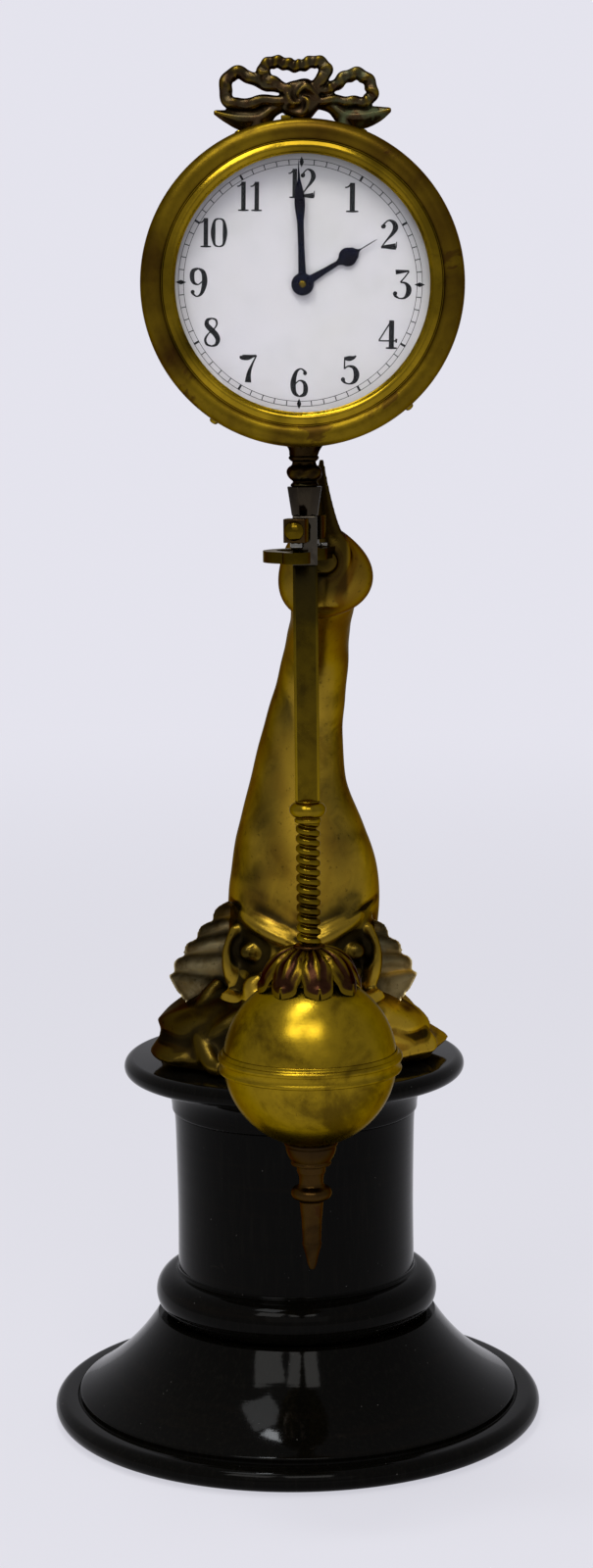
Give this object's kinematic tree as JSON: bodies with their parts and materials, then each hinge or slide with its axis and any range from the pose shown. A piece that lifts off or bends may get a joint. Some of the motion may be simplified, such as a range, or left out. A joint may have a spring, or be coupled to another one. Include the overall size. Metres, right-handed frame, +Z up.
{
  "type": "swinging mantel clock",
  "caption": "Swinging clock on a turned black base: a dolphin figure carries a pendulum with a round clock head above its pivot and a weighted brass ball below.",
  "frame": {"origin": "centre of the underside of the felt, on the axis of the turned base", "axes": "+Z up, the dial faces -Y, +X to the viewer's right"},
  "size_m": [0.1304, 0.1567, 0.3505],
  "materials": {
    "felt": "dark felt",
    "black_wood": "ebonised, polished",
    "steel": "bright steel, dulled",
    "gilt": "old gilt, dark in the hollows",
    "brass": "brass, partly tarnished",
    "bronze": "dark bronze",
    "copper_brown": "brown copper tone",
    "enamel": "off-white enamel",
    "clear_glass": "clear",
    "lead": "dull cast metal",
    "black_steel": "blued nearly to black"
  },
  "bodies": {
    "stand": {"base_baize": "felt", "base_foot": "black_wood", "base_column": "black_wood", "base_cap": "black_wood", "figure_bolt": "steel", "figure_nut": "steel", "wave_mount": "gilt", "dolphin_body": "gilt", "fin_left": "gilt", "fin_right": "gilt", "tail_fluke": "gilt", "support_hook": "brass", "hook_screws": "steel"},
    "pendulum": {"case_band": "brass", "bezel": "brass", "glass": "clear_glass", "dial": "enamel", "back_cover": "brass", "crest_bow": "bronze", "crest_stud": "bronze", "case_screws": "brass", "neck": "bronze", "ferrule": "steel", "carrier": "steel", "cross_bar": "steel", "pivot_blocks": "bronze", "pivot_pins": "steel", "block_screws": "brass", "pendulum_rod": "brass", "rod_bead": "brass", "twist_rod": "brass", "front_plate": "brass", "back_plate": "brass", "plate_pillars": "brass"},
    "ball": {"leaf_cap": "copper_brown", "bob_upper": "brass", "bob_lower": "brass", "bob_band": "brass", "bob_weight": "lead", "bob_cup": "brass"},
    "finial": {"rating_finial": "brass"},
    "barrel": {"mainspring_barrel": "brass"},
    "winder": {"barrel_arbor": "steel", "ratchet_wheel": "steel", "winding_key": "steel"},
    "click": {"click": "steel"},
    "minute_arbor": {"centre_arbor": "steel", "cannon_pinion": "steel", "minute_hand": "black_steel", "hand_nut": "brass", "set_knob": "brass"},
    "centre_pipe": {"centre_wheel": "brass"},
    "minute_wheel": {"minute_wheel": "brass"},
    "hour_pipe": {"hour_wheel": "brass", "hour_hand": "black_steel"},
    "third_arbor": {"third_wheel": "brass"},
    "escape_arbor": {"escape_wheel": "brass"},
    "rocker": {"pallet_anchor": "steel", "inner_pendulum": "brass"}
  },
  "joints": [
    {"name": "pendulum_swing", "type": "hinge", "parent": "stand", "child": "pendulum", "pos_m": [0.004, -0.069, 0.2353], "axis": [-0.2419, -0.9703, 0], "range_deg": [-5, 5]},
    {"name": "finial_turn", "type": "hinge", "parent": "ball", "child": "finial", "pos_m": [0.004, -0.069, 0.1128], "axis": [0, 0, 1], "range_deg": [-2880, 0]},
    {"name": "ball_height", "type": "slide", "parent": "pendulum", "child": "ball", "axis": [0, 0, 1], "range_m": [-0.004, 0]},
    {"name": "minute_turn", "type": "hinge", "parent": "pendulum", "child": "minute_arbor", "pos_m": [0.004, -0.069, 0.2981], "axis": [0, 1, 0], "continuous": true},
    {"name": "hour_turn", "type": "hinge", "parent": "pendulum", "child": "hour_pipe", "pos_m": [0.004, -0.069, 0.2981], "axis": [0, 1, 0], "continuous": true},
    {"name": "minute_wheel_turn", "type": "hinge", "parent": "pendulum", "child": "minute_wheel", "pos_m": [0.00154, -0.069, 0.29133], "axis": [0, 1, 0], "continuous": true},
    {"name": "escape_turn", "type": "hinge", "parent": "pendulum", "child": "escape_arbor", "pos_m": [0.00711, -0.069, 0.31037], "axis": [0, 1, 0], "continuous": true},
    {"name": "third_turn", "type": "hinge", "parent": "pendulum", "child": "third_arbor", "pos_m": [0.01528, -0.069, 0.3022], "axis": [0, 1, 0], "continuous": true},
    {"name": "centre_turn", "type": "hinge", "parent": "pendulum", "child": "centre_pipe", "pos_m": [0.004, -0.069, 0.2981], "axis": [0, 1, 0], "continuous": true},
    {"name": "barrel_turn", "type": "hinge", "parent": "pendulum", "child": "barrel", "pos_m": [-0.01055, -0.069, 0.29281], "axis": [0, 1, 0], "continuous": true},
    {"name": "key_turn", "type": "hinge", "parent": "pendulum", "child": "winder", "pos_m": [-0.01055, -0.069, 0.29281], "axis": [0, -1, 0], "continuous": true},
    {"name": "click_lift", "type": "hinge", "parent": "pendulum", "child": "click", "pos_m": [-0.00447, -0.069, 0.29889], "axis": [0, 1, 0], "range_deg": [0, 9], "stiffness_Nm_per_rad": 0.002, "springref_deg": -2.86},
    {"name": "rocker_swing", "type": "hinge", "parent": "pendulum", "child": "rocker", "pos_m": [0.00711, -0.069, 0.31987], "axis": [0, 1, 0], "range_deg": [-2.5, 2.5]}
  ],
  "couplings": [
    {"joint": "finial_turn", "follows": "ball_height", "rad_per_m": 12566},
    {"joint": "hour_turn", "follows": "minute_turn", "ratio": 0.083333},
    {"joint": "minute_wheel_turn", "follows": "minute_turn", "ratio": -0.33333},
    {"joint": "third_turn", "follows": "escape_turn", "ratio": -0.1},
    {"joint": "centre_turn", "follows": "escape_turn", "ratio": 0.011111},
    {"joint": "barrel_turn", "follows": "escape_turn", "ratio": -0.0011396}
  ]
}
